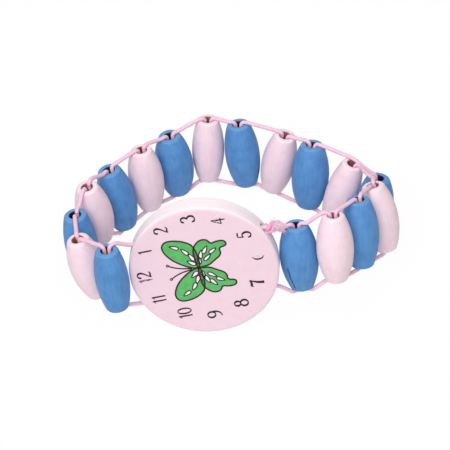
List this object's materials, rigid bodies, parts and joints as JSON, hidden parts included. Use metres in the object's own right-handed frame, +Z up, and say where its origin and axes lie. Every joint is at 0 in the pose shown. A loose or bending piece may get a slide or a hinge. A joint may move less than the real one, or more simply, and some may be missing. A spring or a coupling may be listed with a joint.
{
  "type": "toy watch",
  "caption": "Child's pretend wrist watch: a round wooden dial on a stretch band of barrel beads strung on elastic cord",
  "frame": {"origin": "on the surface that the watch stands on, under the middle of its outline", "axes": "+X to the right across the dial, seen from the front; +Y to the back of the band; +Z up, the beads' bores nearly upright"},
  "size_m": [0.074, 0.0507, 0.0322],
  "materials": {
    "dial_paint": "pale pink paint on wood, satin, with a printed clock face and butterfly",
    "blue_paint": "blue paint on wood, satin",
    "pink_paint": "pale pink paint on wood, satin",
    "elastic_cord": "thread-covered round elastic, matt"
  },
  "bodies": {
    "dial": {"dial": "dial_paint", "elastic_dial": "elastic_cord"},
    "link_1": {"elastic_1": "elastic_cord"},
    "turning_bead_1": {"blue_bead_1": "blue_paint"},
    "link_2": {"elastic_2": "elastic_cord"},
    "turning_bead_2": {"pink_bead_2": "pink_paint"},
    "link_3": {"elastic_3": "elastic_cord"},
    "turning_bead_3": {"blue_bead_3": "blue_paint"},
    "link_4": {"elastic_4": "elastic_cord"},
    "turning_bead_4": {"pink_bead_4": "pink_paint"},
    "link_5": {"elastic_5": "elastic_cord"},
    "turning_bead_5": {"blue_bead_5": "blue_paint"},
    "link_6": {"elastic_6": "elastic_cord"},
    "turning_bead_6": {"pink_bead_6": "pink_paint"},
    "link_7": {"elastic_7": "elastic_cord"},
    "turning_bead_7": {"blue_bead_7": "blue_paint"},
    "link_8": {"elastic_8": "elastic_cord"},
    "turning_bead_8": {"pink_bead_8": "pink_paint"},
    "link_9": {"elastic_9": "elastic_cord"},
    "turning_bead_9": {"blue_bead_9": "blue_paint"},
    "link_10": {"elastic_10": "elastic_cord"},
    "turning_bead_10": {"pink_bead_10": "pink_paint"},
    "link_11": {"elastic_11": "elastic_cord"},
    "turning_bead_11": {"blue_bead_11": "blue_paint"},
    "link_12": {"elastic_12": "elastic_cord"},
    "turning_bead_12": {"pink_bead_12": "pink_paint"},
    "link_13": {"elastic_13": "elastic_cord"},
    "turning_bead_13": {"blue_bead_13": "blue_paint"},
    "link_14": {"elastic_14": "elastic_cord"},
    "turning_bead_14": {"pink_bead_14": "pink_paint"},
    "link_15": {"elastic_15": "elastic_cord"},
    "turning_bead_15": {"blue_bead_15": "blue_paint"},
    "link_16": {"elastic_16": "elastic_cord"},
    "turning_bead_16": {"pink_bead_16": "pink_paint"},
    "link_17": {"elastic_17": "elastic_cord", "knot": "elastic_cord"},
    "turning_bead_17": {"blue_bead_17": "blue_paint"}
  },
  "joints": [
    {"name": "stretch_1", "type": "slide", "parent": "dial", "child": "link_1", "axis": [-0.9842, -0.1771, 0.0051], "range_m": [0, 0.00404], "stiffness_N_per_m": 500, "springref_m": -0.001},
    {"name": "stretch_2", "type": "slide", "parent": "link_1", "child": "link_2", "axis": [-0.7132, 0.6428, -0.2795], "range_m": [0, 0.0016]},
    {"name": "stretch_3", "type": "slide", "parent": "link_2", "child": "link_3", "axis": [-0.2602, 0.9521, -0.1605], "range_m": [0, 0.0016]},
    {"name": "stretch_4", "type": "slide", "parent": "link_3", "child": "link_4", "axis": [0.3092, 0.9447, 0.1092], "range_m": [0, 0.00164]},
    {"name": "stretch_5", "type": "slide", "parent": "link_4", "child": "link_5", "axis": [0.5055, 0.7873, -0.3532], "range_m": [0, 0.00175]},
    {"name": "stretch_6", "type": "slide", "parent": "link_5", "child": "link_6", "axis": [0.7465, 0.6654, 0.0059], "range_m": [0, 0.00167]},
    {"name": "stretch_7", "type": "slide", "parent": "link_6", "child": "link_7", "axis": [0.7053, 0.6786, -0.205], "range_m": [0, 0.00171]},
    {"name": "stretch_8", "type": "slide", "parent": "link_7", "child": "link_8", "axis": [0.9061, 0.4021, 0.1316], "range_m": [0, 0.00169]},
    {"name": "stretch_9", "type": "slide", "parent": "link_8", "child": "link_9", "axis": [0.9858, -0.166, -0.0267], "range_m": [0, 0.00159]},
    {"name": "stretch_10", "type": "slide", "parent": "link_9", "child": "link_10", "axis": [0.9695, -0.2297, -0.0855], "range_m": [0, 0.00171]},
    {"name": "stretch_11", "type": "slide", "parent": "link_10", "child": "link_11", "axis": [0.8467, -0.527, 0.0731], "range_m": [0, 0.00171]},
    {"name": "stretch_12", "type": "slide", "parent": "link_11", "child": "link_12", "axis": [0.8526, -0.5184, -0.065], "range_m": [0, 0.00169]},
    {"name": "stretch_13", "type": "slide", "parent": "link_12", "child": "link_13", "axis": [0.8363, -0.5461, -0.0489], "range_m": [0, 0.00169]},
    {"name": "stretch_14", "type": "slide", "parent": "link_13", "child": "link_14", "axis": [0.1396, -0.7822, 0.6071], "range_m": [0, 0.00182]},
    {"name": "stretch_15", "type": "slide", "parent": "link_14", "child": "link_15", "axis": [-0.5074, -0.7867, 0.3515], "range_m": [0, 0.00168]},
    {"name": "stretch_16", "type": "slide", "parent": "link_15", "child": "link_16", "axis": [-0.6523, -0.7092, 0.2675], "range_m": [0, 0.00167]},
    {"name": "stretch_17", "type": "slide", "parent": "link_16", "child": "link_17", "axis": [-0.8837, 0.1115, -0.4546], "range_m": [0, 0.00178]},
    {"name": "spin_1", "type": "hinge", "parent": "link_1", "child": "turning_bead_1", "pos_m": [-0.02526, -0.02111, 0.01619], "axis": [-0.0872, 0.2062, 0.9746], "continuous": true},
    {"name": "spin_2", "type": "hinge", "parent": "link_2", "child": "turning_bead_2", "pos_m": [-0.03095, -0.01598, 0.01396], "axis": [-0.2249, 0.1851, 0.9566], "continuous": true},
    {"name": "spin_3", "type": "hinge", "parent": "link_3", "child": "turning_bead_3", "pos_m": [-0.03303, -0.00838, 0.01268], "axis": [-0.1045, 0.2059, 0.973], "continuous": true},
    {"name": "spin_4", "type": "hinge", "parent": "link_4", "child": "turning_bead_4", "pos_m": [-0.03049, -0.00064, 0.01358], "axis": [-0.1387, 0.1198, 0.9831], "continuous": true},
    {"name": "spin_5", "type": "hinge", "parent": "link_5", "child": "turning_bead_5", "pos_m": [-0.02606, 0.00626, 0.01048], "axis": [-0.1736, 0.2039, 0.9635], "continuous": true},
    {"name": "spin_6", "type": "hinge", "parent": "link_6", "child": "turning_bead_6", "pos_m": [-0.01982, 0.01183, 0.01053], "axis": [-0.0871, 0.2232, 0.9709], "continuous": true},
    {"name": "spin_7", "type": "hinge", "parent": "link_7", "child": "turning_bead_7", "pos_m": [-0.01381, 0.01761, 0.00879], "axis": [-0.0871, 0.1892, 0.9781], "continuous": true},
    {"name": "spin_8", "type": "hinge", "parent": "link_8", "child": "turning_bead_8", "pos_m": [-0.00615, 0.02101, 0.0099], "axis": [0.0349, 0.2578, 0.9656], "continuous": true},
    {"name": "spin_9", "type": "hinge", "parent": "link_9", "child": "turning_bead_9", "pos_m": [0.00168, 0.01969, 0.00969], "axis": [-0.0869, 0.2737, 0.9579], "continuous": true},
    {"name": "spin_10", "type": "hinge", "parent": "link_10", "child": "turning_bead_10", "pos_m": [0.00996, 0.01773, 0.00896], "axis": [0.2076, 0.1522, 0.9663], "continuous": true},
    {"name": "spin_11", "type": "hinge", "parent": "link_11", "child": "turning_bead_11", "pos_m": [0.01717, 0.01324, 0.00958], "axis": [0.0694, 0.3074, 0.949], "continuous": true},
    {"name": "spin_12", "type": "hinge", "parent": "link_12", "child": "turning_bead_12", "pos_m": [0.02435, 0.00888, 0.00903], "axis": [0.3088, 0.2293, 0.9231], "continuous": true},
    {"name": "spin_13", "type": "hinge", "parent": "link_13", "child": "turning_bead_13", "pos_m": [0.03142, 0.00426, 0.00862], "axis": [0.1212, 0.3059, 0.9443], "continuous": true},
    {"name": "spin_14", "type": "hinge", "parent": "link_14", "child": "turning_bead_14", "pos_m": [0.03269, -0.00284, 0.01413], "axis": [-0.1874, 0.383, 0.9045], "continuous": true},
    {"name": "spin_15", "type": "hinge", "parent": "link_15", "child": "turning_bead_15", "pos_m": [0.02843, -0.00944, 0.01708], "axis": [-0.0512, 0.4054, 0.9127], "continuous": true},
    {"name": "spin_16", "type": "hinge", "parent": "link_16", "child": "turning_bead_16", "pos_m": [0.02297, -0.01537, 0.01931], "axis": [-0.0345, 0.3573, 0.9333], "continuous": true},
    {"name": "spin_17", "type": "hinge", "parent": "link_17", "child": "turning_bead_17", "pos_m": [0.01509, -0.01437, 0.01526], "axis": [-0.0694, 0.3074, 0.949], "continuous": true}
  ],
  "couplings": [
    {"joint": "stretch_2", "follows": "stretch_1", "ratio": 0.39501},
    {"joint": "stretch_3", "follows": "stretch_1", "ratio": 0.39501},
    {"joint": "stretch_4", "follows": "stretch_1", "ratio": 0.40603},
    {"joint": "stretch_5", "follows": "stretch_1", "ratio": 0.43394},
    {"joint": "stretch_6", "follows": "stretch_1", "ratio": 0.41387},
    {"joint": "stretch_7", "follows": "stretch_1", "ratio": 0.42219},
    {"joint": "stretch_8", "follows": "stretch_1", "ratio": 0.41852},
    {"joint": "stretch_9", "follows": "stretch_1", "ratio": 0.39296},
    {"joint": "stretch_10", "follows": "stretch_1", "ratio": 0.4227},
    {"joint": "stretch_11", "follows": "stretch_1", "ratio": 0.42191},
    {"joint": "stretch_12", "follows": "stretch_1", "ratio": 0.41705},
    {"joint": "stretch_13", "follows": "stretch_1", "ratio": 0.41837},
    {"joint": "stretch_14", "follows": "stretch_1", "ratio": 0.44921},
    {"joint": "stretch_15", "follows": "stretch_1", "ratio": 0.41573},
    {"joint": "stretch_16", "follows": "stretch_1", "ratio": 0.41372},
    {"joint": "stretch_17", "follows": "stretch_1", "ratio": 0.44151}
  ]
}
